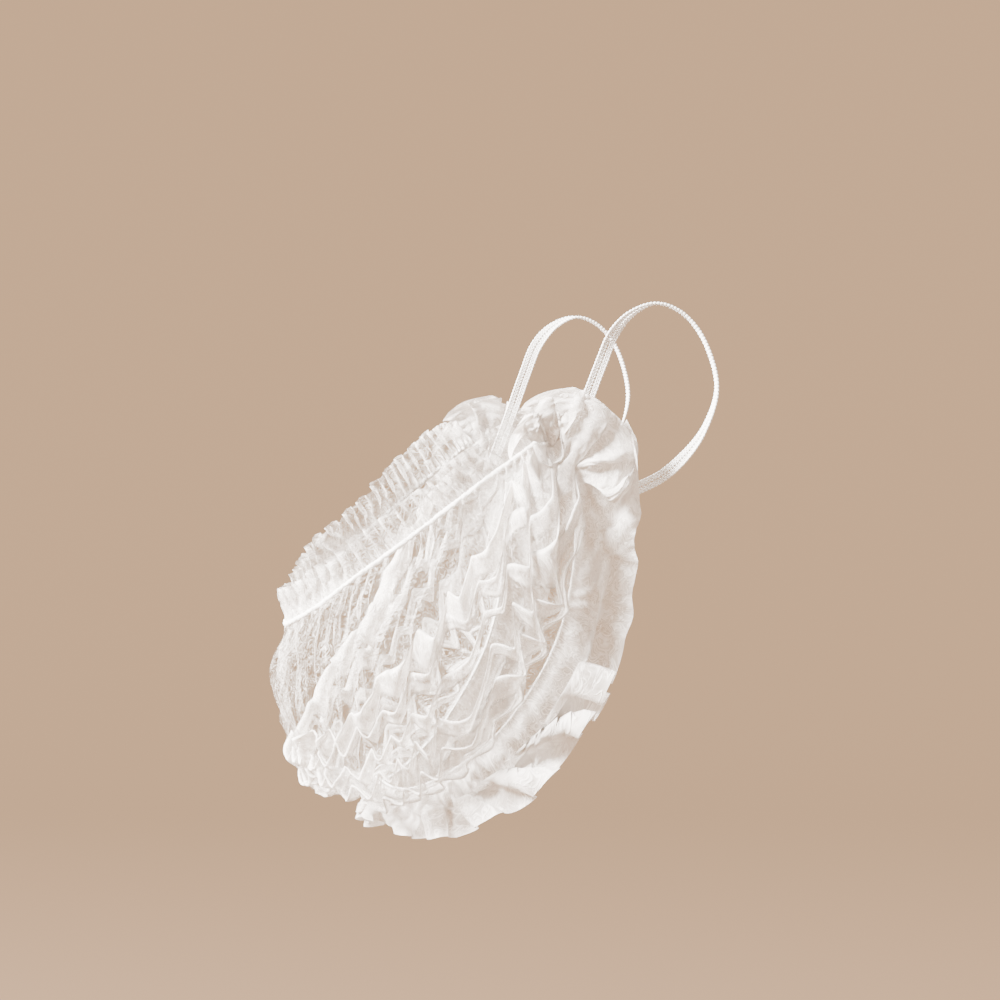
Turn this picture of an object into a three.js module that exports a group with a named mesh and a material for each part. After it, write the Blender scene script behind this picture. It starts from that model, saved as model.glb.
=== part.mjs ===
// A disposable beard net in its worn shape: one thin gathered and pleated sheet
// hung from two ear loops. The origin lies midway between the tops of the two
// loops, the wearer faces -Y, +Z is up and +X is the wearer's left.
// Millimetres throughout.
import * as THREE from "three";

// Driving dimensions of the net as a whole
const EAR_HALF_WIDTH = 72; // from the middle to each gathered end
const NOSE_REACH = 120; // forward from the loops' tops to the strand under the nose
const CHIN_DROP = 170; // down from the loops' tops to the strand under the chin

// Cloth
const CLOTH_WALL = 1.0;
const UPPER_FRILL = 11; // cloth standing past the upper strand
const LOWER_FRILL = 22; // cloth standing past the lower strand
const FAN_LENGTH = 25; // cloth standing past each gathered end
const UPPER_FRILL_WAVE = 1.6; // each way, at the frill's edge
const LOWER_FRILL_WAVE = 3.2;
const FAN_WAVE = 1.6;
const FRILL_FLARE = 0.22; // outward run for each unit of frill
const FRILL_CALM_FROM = 0.85; // share of a side from which the waves die out
const FACE_SIDE_FROM = 0.55; // share of a side from which the face turns sideways on
const FAN_BULGE = 6; // how far the opened end stands out from the ear
const FAN_CREST = 0.67; // share of the fan's length at which it stands out most
const PLEAT_DEPTH = 2.6; // each way from the cloth's middle
const PLEAT_ZIGZAG = 1.7; // shift of a fold's edge along the section
const GATHER_DEPTH = 1.8; // soft folds hanging from the upper strand

// Elastics
const STRAND_DIAMETER = 2.4;
const LOOP_WIDTH = 4.5;
const LOOP_THICKNESS = 1.0;
const CLEARANCE = 0.3; // between pieces that touch
const VALLEY_LIFT = 0.6; // in strand radii: the upper strand rides up in its valley
const STRAND_REACH = 0.985; // share of each side that a strand covers

// Fineness of the faceted solids
const HALF_COLUMNS = 42; // from the middle to one gathered end
const FAN_COLUMNS = 4;
const SMOOTH_ROWS = 3; // between the upper strand and the first pleat
const PLEAT_ROWS = 14; // two for each pleat
const FRILL_ROWS = 2;
const STRAND_STEPS = 58;
const STRAND_SIDES = 6;
const LOOP_STEPS = 36;

// The rails run from the middle of the face to the left gathered end. Each row is
// one station: out in shares of EAR_HALF_WIDTH, forward in shares of NOSE_REACH,
// down in shares of CHIN_DROP.
const UPPER_RAIL = [
  { out: 0.0, forward: 1.0, down: 0.66 },
  { out: 0.31, forward: 0.93, down: 0.62 },
  { out: 0.52, forward: 0.86, down: 0.57 },
  { out: 0.69, forward: 0.74, down: 0.5 },
  { out: 0.82, forward: 0.62, down: 0.43 },
  { out: 0.91, forward: 0.51, down: 0.365 },
  { out: 0.96, forward: 0.41, down: 0.31 },
  { out: 1.0, forward: 0.34, down: 0.27 },
];
const CHEEK_RAIL = [
  { out: 0.0, forward: 1.02, down: 0.78 },
  { out: 0.38, forward: 0.99, down: 0.79 },
  { out: 0.7, forward: 0.9, down: 0.77 },
  { out: 0.92, forward: 0.77, down: 0.73 },
  { out: 1.04, forward: 0.62, down: 0.66 },
  { out: 1.1, forward: 0.49, down: 0.53 },
  { out: 1.11, forward: 0.39, down: 0.41 },
  { out: 1.02, forward: 0.3, down: 0.3 },
];
const JAW_RAIL = [
  { out: 0.0, forward: 0.93, down: 0.955 },
  { out: 0.35, forward: 0.9, down: 0.985 },
  { out: 0.6, forward: 0.83, down: 1.005 },
  { out: 0.84, forward: 0.69, down: 0.975 },
  { out: 1.01, forward: 0.52, down: 0.86 },
  { out: 1.11, forward: 0.4, down: 0.69 },
  { out: 1.14, forward: 0.31, down: 0.52 },
  { out: 1.025, forward: 0.265, down: 0.33 },
];
const LOWER_RAIL = [
  { out: 0.0, forward: 0.74, down: 0.985 },
  { out: 0.24, forward: 0.72, down: 1.0 },
  { out: 0.44, forward: 0.67, down: 1.0 },
  { out: 0.64, forward: 0.57, down: 0.96 },
  { out: 0.82, forward: 0.44, down: 0.87 },
  { out: 0.93, forward: 0.31, down: 0.72 },
  { out: 0.99, forward: 0.25, down: 0.56 },
  { out: 1.01, forward: 0.235, down: 0.36 },
];

// How the frills and folds change from the middle (along 0) to a gathered end
// (along 1): the frills' widths in shares of UPPER_FRILL and LOWER_FRILL, the
// share of a section at which the first pleat lies, and the depth of the pleats
// and of the soft folds in shares of their own depths.
const ALONG = [
  { along: 0.0, upper: 1.0, lower: 0.52, firstPleat: 0.62, pleats: 0.3, gathers: 0.8 },
  { along: 0.25, upper: 1.0, lower: 0.65, firstPleat: 0.56, pleats: 0.6, gathers: 1.0 },
  { along: 0.5, upper: 1.0, lower: 1.12, firstPleat: 0.44, pleats: 1.0, gathers: 0.8 },
  { along: 0.75, upper: 1.15, lower: 1.0, firstPleat: 0.36, pleats: 1.0, gathers: 0.5 },
  { along: 0.9, upper: 1.15, lower: 0.93, firstPleat: 0.3, pleats: 0.4, gathers: 0.2 },
  { along: 1.0, upper: 0.9, lower: 0.93, firstPleat: 0.25, pleats: 0.0, gathers: 0.0 },
];

// The opened end, from its front edge over the top to its back edge: the turn
// from straight up towards the back, and the length in shares of FAN_LENGTH.
const FAN_RAYS = [
  { turn: -52, length: 0.84 },
  { turn: -25, length: 0.92 },
  { turn: 5, length: 0.96 },
  { turn: 35, length: 0.98 },
  { turn: 62, length: 0.98 },
  { turn: 90, length: 0.96 },
];

// The left loop from its front end over the ear to its lower end, as if it lay in
// the cloth's middle: out in shares of EAR_HALF_WIDTH, forward and down in shares
// of the upper strand's own reach and drop at the gathered end, roll as the turn
// of the band's flat face away from the side of the head.
const LOOP_ROUTE = [
  { out: 1.023, forward: 0.8, down: 1.15, roll: 0 },
  { out: 1.033, forward: 0.63, down: 0.75, roll: 0 },
  { out: 1.048, forward: 0.5, down: 0.44, roll: 0 },
  { out: 1.053, forward: 0.39, down: 0.21, roll: 20 },
  { out: 1.058, forward: 0.22, down: 0.05, roll: 60 },
  { out: 1.068, forward: 0.0, down: -0.015, roll: 90 },
  { out: 1.078, forward: -0.23, down: 0.08, roll: 90 },
  { out: 1.098, forward: -0.4, down: 0.3, roll: 90 },
  { out: 1.118, forward: -0.485, down: 0.625, roll: 90 },
  { out: 1.093, forward: -0.39, down: 0.93, roll: 75 },
  { out: 1.058, forward: -0.21, down: 1.16, roll: 40 },
  { out: 1.038, forward: 0.03, down: 1.33, roll: 15 },
  { out: 1.018, forward: 0.36, down: 1.42, roll: 0 },
  { out: 1.003, forward: 0.66, down: 1.29, roll: 0 },
];

const rad = THREE.MathUtils.degToRad;
const point = ({ out, forward, down }) =>
  new THREE.Vector3(out * EAR_HALF_WIDTH, -forward * NOSE_REACH, -down * CHIN_DROP);
const mirrored = ({ x, y, z }) => new THREE.Vector3(-x, y, z);

// A smooth curve from the right gathered end over the middle to the left one.
function wholeRail(rows) {
  const left = rows.map(point);
  const right = left.slice(1).reverse().map(mirrored);
  return new THREE.CatmullRomCurve3([...right, ...left]);
}
const rails = [UPPER_RAIL, CHEEK_RAIL, JAW_RAIL, LOWER_RAIL].map(wholeRail);

// A named column of a table of rows, read between the rows.
function between(rows, key, at, column) {
  const last = rows.length - 1;
  let i = 1;
  while (i < last && rows[i][key] < at) i += 1;
  const low = rows[i - 1];
  const high = rows[i];
  const share = THREE.MathUtils.clamp((at - low[key]) / (high[key] - low[key]), 0, 1);
  return THREE.MathUtils.lerp(low[column], high[column], share);
}
const alongValue = (side, column) => between(ALONG, "along", Math.abs(side), column);

// The smooth cloth between the strands: side runs from -1 (right end) to 1 (left
// end), share from 0 at the upper strand to 1 at the lower one.
function pouchPoint(side, share) {
  const at = (THREE.MathUtils.clamp(side, -1, 1) + 1) / 2;
  const section = new THREE.CatmullRomCurve3(rails.map((rail) => rail.getPoint(at)));
  return section.getPointAt(THREE.MathUtils.clamp(share, 0, 1));
}

const STEP = 0.01; // small step for slopes
const slopeAlong = (f, t) =>
  f(Math.min(t + STEP, 1)).sub(f(Math.max(t - STEP, -1))).normalize();

function pouchNormal(side, share) {
  const along = slopeAlong((s) => pouchPoint(s, share), side);
  const low = Math.max(share - STEP, 0);
  const high = Math.min(share + STEP, 1);
  const across = pouchPoint(side, high).sub(pouchPoint(side, low));
  return along.cross(across).normalize().negate();
}

// At a strand: which way the face's side looks, and which way its frill stands.
function strandFrame(side, isUpper) {
  const share = isUpper ? 0 : 1;
  const tangent = slopeAlong((s) => pouchPoint(s, share), side);
  const outward = new THREE.Vector3(tangent.y, -tangent.x, 0).normalize();
  const sideways = new THREE.Vector3(Math.sign(side), 0, 0);
  outward.lerp(sideways, THREE.MathUtils.smoothstep(Math.abs(side), FACE_SIDE_FROM, 1));
  outward.normalize();
  const frill = outward.clone().cross(tangent).normalize();
  if (!isUpper) frill.negate();
  return { at: pouchPoint(side, share), outward, frill };
}

// Rows of the sheet from the upper frill's edge to the lower frill's edge.
const ROWS = [
  ...Array.from({ length: FRILL_ROWS }, (_, i) => ({
    zone: "upperFrill",
    share: 1 - i / FRILL_ROWS,
  })),
  ...Array.from({ length: SMOOTH_ROWS + 1 }, (_, i) => ({
    zone: "smooth",
    share: i / (SMOOTH_ROWS + 1),
  })),
  ...Array.from({ length: PLEAT_ROWS + 1 }, (_, i) => ({
    zone: "pleats",
    share: i / PLEAT_ROWS,
    isRidge: i % 2 === 0,
    isHem: i === PLEAT_ROWS,
  })),
  ...Array.from({ length: FRILL_ROWS }, (_, i) => ({
    zone: "lowerFrill",
    share: (i + 1) / FRILL_ROWS,
  })),
];

// The cloth's middle surface at one row and one side, wave being 1 or -1.
function sheetPoint(side, row, wave) {
  if (row.zone === "upperFrill" || row.zone === "lowerFrill") {
    const isUpper = row.zone === "upperFrill";
    const { at, outward, frill } = strandFrame(side, isUpper);
    const width = isUpper
      ? UPPER_FRILL * alongValue(side, "upper")
      : LOWER_FRILL * alongValue(side, "lower");
    const fullWave = isUpper ? UPPER_FRILL_WAVE : LOWER_FRILL_WAVE;
    const calm = THREE.MathUtils.smoothstep(Math.abs(side), FRILL_CALM_FROM, 1);
    const push = row.share * (width * FRILL_FLARE + wave * fullWave * (1 - calm));
    return at.addScaledVector(frill, width * row.share).addScaledVector(outward, push);
  }
  const firstPleat = alongValue(side, "firstPleat");
  if (row.zone === "smooth") {
    const share = row.share * firstPleat;
    const swell = row.share * (1 - row.share) * 4;
    const depth = GATHER_DEPTH * alongValue(side, "gathers") * swell;
    return pouchPoint(side, share).addScaledVector(pouchNormal(side, share), depth * wave);
  }
  const share = THREE.MathUtils.lerp(firstPleat, 1, row.share);
  if (row.isHem) return pouchPoint(side, 1);
  const fold = alongValue(side, "pleats");
  const normal = pouchNormal(side, share);
  const across = pouchPoint(side, Math.min(share + STEP, 1))
    .sub(pouchPoint(side, share - STEP))
    .normalize();
  const lift = PLEAT_DEPTH * fold * (row.isRidge ? 1 : -1);
  return pouchPoint(side, share)
    .addScaledVector(normal, lift)
    .addScaledVector(across, PLEAT_ZIGZAG * fold * wave);
}

// The opened end past a gathered end: each row carries on along its own ray.
function fanPoint(rowIndex, outShare, wave) {
  const start = sheetPoint(1, ROWS[rowIndex], 1);
  const middle = pouchPoint(1, 0).add(pouchPoint(1, 1)).multiplyScalar(0.5);
  const across = (rowIndex / (ROWS.length - 1)) * (FAN_RAYS.length - 1);
  const ray = FAN_RAYS.map((row, place) => ({ ...row, place }));
  const turn = rad(between(ray, "place", across, "turn"));
  const length = FAN_LENGTH * between(ray, "place", across, "length");
  const edge = middle.clone();
  edge.y += Math.sin(turn) * length;
  edge.z += Math.cos(turn) * length;
  edge.x = start.x;
  const bulge = FAN_BULGE * Math.sin(((outShare / FAN_CREST) * Math.PI) / 2);
  const made = start.lerp(edge, outShare);
  made.x += bulge + wave * FAN_WAVE * outShare;
  return made;
}

// The whole grid of the sheet's middle surface, column by column.
function sheetGrid() {
  const left = [];
  for (let c = 0; c <= HALF_COLUMNS; c += 1) {
    const wave = c % 2 === 0 ? 1 : -1;
    left.push(ROWS.map((row) => sheetPoint(c / HALF_COLUMNS, row, wave)));
  }
  for (let c = 1; c <= FAN_COLUMNS; c += 1) {
    const place = (i) => fanPoint(i, c / FAN_COLUMNS, i % 2 === 0 ? 1 : -1);
    left.push(ROWS.map((_, i) => place(i)));
  }
  const right = left.slice(1).reverse().map((column) => column.map(mirrored));
  return [...right, ...left];
}

// A closed shell of even wall round a grid of points.
function shellFromGrid(grid, wall) {
  const columns = grid.length;
  const rows = grid[0].length;
  const index = (c, r) => c * rows + r;
  const faces = [];
  for (let c = 0; c + 1 < columns; c += 1) {
    for (let r = 0; r + 1 < rows; r += 1) {
      const [p, q, s, t] = [index(c, r), index(c + 1, r), index(c + 1, r + 1), index(c, r + 1)];
      const shortFirst = grid[c][r].distanceTo(grid[c + 1][r + 1]) <
        grid[c + 1][r].distanceTo(grid[c][r + 1]);
      if (shortFirst) faces.push([p, t, s], [p, s, q]);
      else faces.push([p, t, q], [q, t, s]);
    }
  }
  const points = grid.flat();
  const normals = points.map(() => new THREE.Vector3());
  for (const [a, b, c] of faces) {
    const normal = points[b].clone().sub(points[a]).cross(points[c].clone().sub(points[a]));
    for (const i of [a, b, c]) normals[i].add(normal);
  }
  normals.forEach((normal) => normal.normalize());
  const offset = (way) => points.map((p, i) => p.clone().addScaledVector(normals[i], way * wall / 2));
  const all = [...offset(1), ...offset(-1)];
  const back = points.length;
  const triangles = [...faces];
  for (const [a, b, c] of faces) triangles.push([a + back, c + back, b + back]);
  const rim = [];
  for (let c = 0; c + 1 < columns; c += 1) rim.push([index(c + 1, 0), index(c, 0)]);
  for (let r = 0; r + 1 < rows; r += 1) rim.push([index(0, r), index(0, r + 1)]);
  for (let c = 0; c + 1 < columns; c += 1) rim.push([index(c, rows - 1), index(c + 1, rows - 1)]);
  for (let r = 0; r + 1 < rows; r += 1) rim.push([index(columns - 1, r + 1), index(columns - 1, r)]);
  for (const [a, b] of rim) triangles.push([b, a, a + back], [b, a + back, b + back]);
  return solidOf(all, triangles);
}

function solidOf(points, triangles) {
  const geometry = new THREE.BufferGeometry().setFromPoints(points);
  geometry.setIndex(triangles.flat());
  geometry.computeVertexNormals();
  return geometry;
}

// A round strand lying along one edge of the pouch, on one face of the cloth.
function strandAlong(isUpper) {
  const radius = STRAND_DIAMETER / 2;
  const seat = CLOTH_WALL / 2 + CLEARANCE + radius;
  const lift = isUpper ? seat + VALLEY_LIFT * radius : -seat;
  const path = Array.from({ length: STRAND_STEPS + 1 }, (_, i) => {
    const side = THREE.MathUtils.lerp(-STRAND_REACH, STRAND_REACH, i / STRAND_STEPS);
    const { at, outward } = strandFrame(side, isUpper);
    return at.addScaledVector(outward, lift);
  });
  const section = new THREE.Shape();
  for (let i = 0; i < STRAND_SIDES; i += 1) {
    const turn = (i / STRAND_SIDES) * Math.PI * 2;
    const [x, y] = [radius * Math.cos(turn), radius * Math.sin(turn)];
    if (i === 0) section.moveTo(x, y);
    else section.lineTo(x, y);
  }
  section.closePath();
  return new THREE.ExtrudeGeometry(section, {
    steps: STRAND_STEPS,
    bevelEnabled: false,
    extrudePath: new THREE.CatmullRomCurve3(path),
  });
}

// The left loop's flat band, swept with its flat face turned by the route's roll.
function loopBand() {
  const end = pouchPoint(1, 0);
  const seat = CLOTH_WALL / 2 + CLEARANCE + LOOP_THICKNESS / 2;
  const route = LOOP_ROUTE.map(({ out, forward, down }) =>
    new THREE.Vector3(out * EAR_HALF_WIDTH - seat, forward * end.y, down * end.z));
  const curve = new THREE.CatmullRomCurve3(route);
  const places = LOOP_ROUTE.map((row, place) => ({ ...row, place }));
  const sideways = new THREE.Vector3(1, 0, 0);
  const corners = [
    [-1, -1],
    [1, -1],
    [1, 1],
    [-1, 1],
  ];
  const points = [];
  for (let i = 0; i <= LOOP_STEPS; i += 1) {
    const at = i / LOOP_STEPS;
    const tangent = curve.getTangent(at);
    const roll = rad(between(places, "place", at * (LOOP_ROUTE.length - 1), "roll"));
    const flat = sideways.clone().cross(tangent).normalize();
    const depth = tangent.clone().cross(flat).normalize();
    const across = flat.clone().multiplyScalar(Math.cos(roll)).addScaledVector(depth, Math.sin(roll));
    const through = tangent.clone().cross(across).normalize();
    for (const [u, v] of corners) {
      points.push(
        curve
          .getPoint(at)
          .addScaledVector(across, (u * LOOP_WIDTH) / 2)
          .addScaledVector(through, (v * LOOP_THICKNESS) / 2),
      );
    }
  }
  const sides = corners.length;
  const triangles = [];
  for (let i = 0; i < LOOP_STEPS; i += 1) {
    for (let s = 0; s < sides; s += 1) {
      const a = i * sides + s;
      const b = i * sides + ((s + 1) % sides);
      triangles.push([a, b, b + sides], [a, b + sides, a + sides]);
    }
  }
  const last = LOOP_STEPS * sides;
  triangles.push([0, 2, 1], [0, 3, 2], [last, last + 1, last + 2], [last, last + 2, last + 3]);
  return solidOf(points, triangles);
}

// The same solid on the other side of the face.
function mirroredSolid(geometry) {
  const turned = geometry.clone().applyMatrix4(new THREE.Matrix4().makeScale(-1, 1, 1));
  const index = turned.getIndex().array;
  for (let i = 0; i < index.length; i += 3) {
    [index[i + 1], index[i + 2]] = [index[i + 2], index[i + 1]];
  }
  return turned;
}

const clothMaterial = () =>
  new THREE.MeshStandardMaterial({ color: 0xf1eeea, roughness: 0.9, metalness: 0, side: THREE.DoubleSide });
const elasticMaterial = () =>
  new THREE.MeshStandardMaterial({ color: 0xf7f6f4, roughness: 0.8, metalness: 0 });

function piece(name, geometry, material) {
  const mesh = new THREE.Mesh(geometry, material);
  mesh.name = name;
  return mesh;
}

const leftLoop = loopBand();
const beardNet = new THREE.Group();
beardNet.name = "beard_net";
beardNet.add(
  piece("net_sheet", shellFromGrid(sheetGrid(), CLOTH_WALL), clothMaterial()),
  piece("upper_elastic", strandAlong(true), elasticMaterial()),
  piece("lower_elastic", strandAlong(false), elasticMaterial()),
  piece("left_ear_loop", leftLoop, elasticMaterial()),
  piece("right_ear_loop", mirroredSolid(leftLoop), elasticMaterial()),
);

export default beardNet;
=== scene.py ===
# %% [markdown]
# # A disposable beard net
# This lesson dresses the fixed model of a disposable beard net. The real net is
# one thin sheet of spunbond nonwoven, laid in long pleats, gathered on two
# elastic strands and hung from two knitted ear loops. The model gives the place
# and size of each piece, and Blender adds the folds, the frills and the fibres.

# %% Load the fixed model
import math

import bpy
import numpy as np
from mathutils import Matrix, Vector


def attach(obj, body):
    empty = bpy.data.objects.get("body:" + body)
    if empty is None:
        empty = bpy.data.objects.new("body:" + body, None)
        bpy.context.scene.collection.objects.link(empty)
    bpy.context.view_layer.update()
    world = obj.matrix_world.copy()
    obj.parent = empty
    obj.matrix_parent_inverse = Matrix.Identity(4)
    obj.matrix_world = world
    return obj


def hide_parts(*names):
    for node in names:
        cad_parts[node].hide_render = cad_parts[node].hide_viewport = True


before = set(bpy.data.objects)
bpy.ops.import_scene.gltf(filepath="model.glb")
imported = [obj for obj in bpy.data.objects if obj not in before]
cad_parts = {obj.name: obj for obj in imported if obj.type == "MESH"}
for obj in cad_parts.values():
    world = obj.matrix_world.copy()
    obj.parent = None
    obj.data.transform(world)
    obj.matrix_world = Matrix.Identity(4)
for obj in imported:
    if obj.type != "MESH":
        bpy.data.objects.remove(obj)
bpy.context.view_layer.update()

print("nodes:", sorted(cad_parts))

# %% [markdown]
# ## The camera
# The picture was taken from the wearer's left, a little towards the front, with
# a long lens, so the camera stands two metres away and looks along the ear line.
# The image is 1000 pixels wide, and one pixel is 0.35 mm at the near side.

# %% Camera
VIEW_AZIMUTH = math.radians(80)  # 90 would be a pure side view
VIEW_DISTANCE = 2.0
NEAR_SIDE = 0.070  # from the middle plane to the surfaces that the camera sees
FRAME_WIDTH = 0.350  # what the image's width covers there
FRAME_CENTRE_ACROSS = -0.0425
FRAME_CENTRE_UP = -0.0679
SENSOR = 36.0

towards_camera = Vector((math.sin(VIEW_AZIMUTH), -math.cos(VIEW_AZIMUTH), 0))
picture_right = Vector((math.cos(VIEW_AZIMUTH), math.sin(VIEW_AZIMUTH), 0))
aim = picture_right * FRAME_CENTRE_ACROSS + towards_camera * NEAR_SIDE
aim.z = FRAME_CENTRE_UP
camera_data = bpy.data.cameras.new("camera")
camera_data.sensor_width = SENSOR
camera_data.lens = SENSOR * VIEW_DISTANCE / FRAME_WIDTH
camera = bpy.data.objects.new("camera", camera_data)
bpy.context.scene.collection.objects.link(camera)
camera.location = aim + towards_camera * VIEW_DISTANCE
camera.rotation_euler = (-towards_camera).to_track_quat("-Z", "Y").to_euler()
bpy.context.scene.camera = camera
print("camera at", tuple(round(c, 3) for c in camera.location))

# %% [markdown]
# ## The lines that the cloth hangs on
# Four rails run from the middle of the face to the left gathered end: the upper
# strand, two lines over the cheek and the jaw, and the lower strand. They are
# the model's own rails, in shares of the same three sizes, and a smooth curve
# joins the rows of each.

# %% Rails
EAR_HALF_WIDTH = 0.072
NOSE_REACH = 0.120
CHIN_DROP = 0.170
# each row: out, forward and down in shares of the sizes above
UPPER_RAIL = [
    (0.00, 1.00, 0.660), (0.31, 0.93, 0.620), (0.52, 0.86, 0.570), (0.69, 0.74, 0.500),
    (0.82, 0.62, 0.430), (0.91, 0.51, 0.365), (0.96, 0.41, 0.310), (1.00, 0.34, 0.270)]
CHEEK_RAIL = [
    (0.00, 1.02, 0.780), (0.38, 0.99, 0.790), (0.70, 0.90, 0.770), (0.92, 0.77, 0.730),
    (1.04, 0.62, 0.660), (1.10, 0.49, 0.530), (1.11, 0.39, 0.410), (1.02, 0.30, 0.300)]
JAW_RAIL = [
    (0.00, 0.93, 0.955), (0.35, 0.90, 0.985), (0.60, 0.83, 1.005), (0.84, 0.69, 0.975),
    (1.01, 0.52, 0.860), (1.11, 0.40, 0.690), (1.14, 0.31, 0.520), (1.025, 0.265, 0.330)]
LOWER_RAIL = [
    (0.00, 0.74, 0.985), (0.24, 0.72, 1.000), (0.44, 0.67, 1.000), (0.64, 0.57, 0.960),
    (0.82, 0.44, 0.870), (0.93, 0.31, 0.720), (0.99, 0.25, 0.560), (1.01, 0.235, 0.360)]


def smooth_through(points, places):
    """Points on a smooth curve through the given ones, place 0 being the first."""
    points = np.asarray(points, dtype=float)
    last = len(points) - 1
    first = np.clip(np.floor(places).astype(int), 0, last - 1)
    share = (places - first)[:, None]
    ends = np.vstack([2 * points[0] - points[1], points, 2 * points[-1] - points[-2]])
    before, start, stop, after = (ends[first + k] for k in range(4))
    leave, arrive = (stop - before) / 2, (after - start) / 2
    s2, s3 = share**2, share**3
    return ((2 * s3 - 3 * s2 + 1) * start + (s3 - 2 * s2 + share) * leave
            + (3 * s2 - 2 * s3) * stop + (s3 - s2) * arrive)


def whole_rail(rows, sides):
    """The rail from the right gathered end (-1) to the left one (1)."""
    left = np.array(rows) * (EAR_HALF_WIDTH, -NOSE_REACH, -CHIN_DROP)
    right = left[:0:-1] * (-1, 1, 1)
    return smooth_through(np.vstack([right, left]), (sides + 1) * (len(rows) - 1))


def unit(vectors):
    return vectors / np.maximum(np.linalg.norm(vectors, axis=-1, keepdims=True), 1e-9)


print("rails:", len(UPPER_RAIL), "stations on each side")

# %% [markdown]
# ## A smooth surface under the folds
# Every fold, gather and crease is measured from one smooth surface between the
# strands, so that surface comes first: a section across the net at each column,
# cut into steps of equal length, with the outward direction at every step.

# %% The smooth pouch
HALF_COLUMNS = 240  # of cloth from the middle to a gathered end
SECTION_STEPS = 60

sides = np.linspace(-1, 1, 2 * HALF_COLUMNS + 1)
from_middle = np.abs(sides)
rails = [whole_rail(rows, sides) for rows in (UPPER_RAIL, CHEEK_RAIL, JAW_RAIL, LOWER_RAIL)]


def even_section(corners):
    """A section through four rail points, in steps of equal length."""
    fine = smooth_through(corners, np.linspace(0, 3, 4 * SECTION_STEPS + 1))
    run = np.append(0, np.cumsum(np.linalg.norm(np.diff(fine, axis=0), axis=1)))
    steps = np.linspace(0, run[-1], SECTION_STEPS + 1)
    return np.column_stack([np.interp(steps, run, fine[:, axis]) for axis in range(3)]), run[-1]


sections = [even_section([rail[c] for rail in rails]) for c in range(len(sides))]
pouch = np.array([points for points, _ in sections])
section_length = np.array([length for _, length in sections])
along = unit(np.gradient(pouch, axis=0))
across = unit(np.gradient(pouch, axis=1))
outward = unit(np.cross(across, along))
print("section at the middle %.0f mm, at the cheek %.0f mm"
      % (section_length[HALF_COLUMNS] * 1e3, section_length[HALF_COLUMNS * 3 // 2] * 1e3))

# %% [markdown]
# Cloth is never regular. A small noise that repeats exactly on every run bends
# the lines of the folds, and the pieces of a table are read between their rows.

# %% Irregularity and tables
LATTICE = 64
ALONG = np.array([0.0, 0.25, 0.5, 0.75, 0.9, 1.0])  # shares of the way to a gathered end


def wander(x, y, seed):
    """Smooth noise from -1 to 1, about one swing to each unit of x and y."""
    lattice = np.random.RandomState(seed).uniform(-1, 1, (LATTICE, LATTICE))
    x, y = np.broadcast_arrays(np.asarray(x, float), np.asarray(y, float))
    x0, y0 = np.floor(x).astype(int), np.floor(y).astype(int)
    fx, fy = x - x0, y - y0
    fx, fy = fx * fx * (3 - 2 * fx), fy * fy * (3 - 2 * fy)
    x0, y0, x1, y1 = x0 % LATTICE, y0 % LATTICE, (x0 + 1) % LATTICE, (y0 + 1) % LATTICE
    near = lattice[x0, y0] * (1 - fy) + lattice[x0, y1] * fy
    far = lattice[x1, y0] * (1 - fy) + lattice[x1, y1] * fy
    return near * (1 - fx) + far * fx


def creases(x, y, seed):
    """Noise with sharp ridges, as crushed cloth has, from -1 to 1."""
    bent = x + 0.6 * wander(y * 0.7, x * 0.7, seed + 1)
    return 1 - 2 * np.abs(wander(bent, y, seed))


def soft_zigzag(turns, edge=0.93):
    """A wave with nearly straight flanks, one period to each whole turn."""
    return np.arcsin(edge * np.sin(2 * np.pi * turns)) / np.arcsin(edge)


def ease(values, start, stop):
    """A soft step from 0 at start to 1 at stop."""
    share = np.clip((values - start) / (stop - start), 0, 1)
    return share * share * (3 - 2 * share)


def by_side(*values):
    """Values read along the net, given at the shares in ALONG."""
    return np.interp(from_middle, ALONG, values)


print("noise lattice:", LATTICE, "squared")

# %% [markdown]
# ## The rows of cloth
# Going down the sheet, the cloth is first a frill, then smooth, then laid in
# knife pleats, and last a wider frill. In a knife pleat it runs under the next
# visible edge, turns back to that edge and runs on over itself, so three layers
# lie on each other there. These layers make the white bands of the real net,
# which is see-through where it is single. Each row keeps three things: its share
# of the way down, how far it is lifted, and how many pressed layers lie there.

# %% Rows
PLEATS = 6
UPPER_FRILL_ROWS = 10
SMOOTH_ROWS = 30
BACK_ROWS = 5  # from a hidden fold back to the visible edge
ON_ROWS = 13  # from a visible edge on to the next hidden fold
LOWER_FRILL_ROWS = 16
MM = 1e-3

first_pleat = by_side(0.60, 0.53, 0.40, 0.27, 0.15, 0.08)
edge_step = (1 - first_pleat) / PLEATS
usual_overlap = by_side(2.4, 3.2, 4.2, 4.2, 3.8, 2.0) * MM / section_length
FIRST_STRIP = 1.9  # the first pleat is wider and pressed from more cloth than the rest
FIRST_STRAY, STRAY = 4.2 * MM, 2.4 * MM  # how far a visible edge wanders
widest_overlap = by_side(0.72, 0.72, 0.72, 0.72, 0.95, 0.95) * edge_step


def pleat_edges(pleat):
    """Shares at which a pleat's visible edge and its hidden fold lie."""
    wide, stray = (FIRST_STRIP, FIRST_STRAY) if pleat == 0 else (1.0, STRAY)
    stray = (stray * wander(7 * sides, 1.7 * pleat, 8) / section_length
             * ease(1 - from_middle, 0, 0.2))
    overlap = usual_overlap * wide * (1 + 0.6 * wander(10 * sides, 2.3 * pleat + 0.5, 9))
    visible = first_pleat + pleat * edge_step + stray
    return visible, visible + np.minimum(overlap, widest_overlap)


print("pleats:", PLEATS, "step at the cheek %.1f mm"
      % (edge_step[HALF_COLUMNS * 3 // 2] * section_length[HALF_COLUMNS * 3 // 2] * 1e3))

# %% [markdown]
# The rows follow one another down the sheet. The smooth part ends in the first
# hidden fold, and from there each pleat adds rows back to its visible edge and
# rows on to the next hidden fold.

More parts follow.
